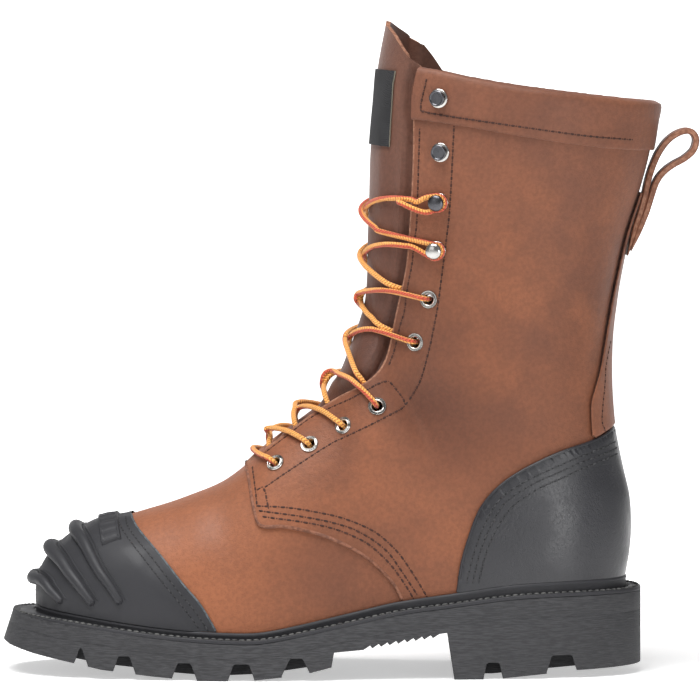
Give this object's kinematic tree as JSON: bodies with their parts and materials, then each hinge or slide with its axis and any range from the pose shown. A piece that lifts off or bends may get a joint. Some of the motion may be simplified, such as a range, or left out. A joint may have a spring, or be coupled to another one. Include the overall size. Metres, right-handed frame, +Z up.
{
  "type": "metatarsal guard boot",
  "caption": "Tall lace-up leather work boot with a ribbed rubber toe bumper, heel counter, folded collar, pull loop and a lugged rubber sole with a stepped heel.",
  "frame": {"origin": "on the floor plane, under the flat front part of the heel's tread", "axes": "toe towards -X, the wearer's left side towards -Y, +Z up"},
  "size_m": [0.3364, 0.1156, 0.312],
  "materials": {
    "brown_leather": "oiled, matte, lightly scuffed",
    "black_leather": "satin",
    "black_rubber": "moulded, satin",
    "sole_rubber": "ground edge, matte",
    "insole_foam": "cloth faced foam",
    "gunmetal": "dark nickel",
    "lace_fibre": "round braid",
    "label_weave": "plain woven"
  },
  "bodies": {
    "root": {"outsole": "sole_rubber", "midsole": "sole_rubber", "welt": "black_rubber", "insole": "insole_foam", "upper": "brown_leather", "tongue": "brown_leather", "tongue_label": "label_weave", "toe_cap": "black_rubber", "heel_counter": "black_leather", "collar_band": "brown_leather", "backstay": "brown_leather", "pull_loop": "brown_leather", "eyelet_lateral_1": "gunmetal", "eyelet_lateral_2": "gunmetal", "eyelet_lateral_3": "gunmetal", "eyelet_lateral_4": "gunmetal", "eyelet_lateral_5": "gunmetal", "eyelet_lateral_6": "gunmetal", "hook_lateral_1": "gunmetal", "hook_lateral_2": "gunmetal", "hook_lateral_3": "gunmetal", "hook_lateral_4": "gunmetal", "eyelet_medial_1": "gunmetal", "eyelet_medial_2": "gunmetal", "eyelet_medial_3": "gunmetal", "eyelet_medial_4": "gunmetal", "eyelet_medial_5": "gunmetal", "eyelet_medial_6": "gunmetal", "hook_medial_1": "gunmetal", "hook_medial_2": "gunmetal", "hook_medial_3": "gunmetal", "hook_medial_4": "gunmetal", "lace_bar": "lace_fibre", "lace_crossing_1": "lace_fibre", "lace_crossing_2": "lace_fibre", "lace_crossing_3": "lace_fibre", "lace_crossing_4": "lace_fibre", "lace_crossing_5": "lace_fibre", "lace_crossing_6": "lace_fibre", "lace_crossing_7": "lace_fibre"}
  },
  "joints": []
}
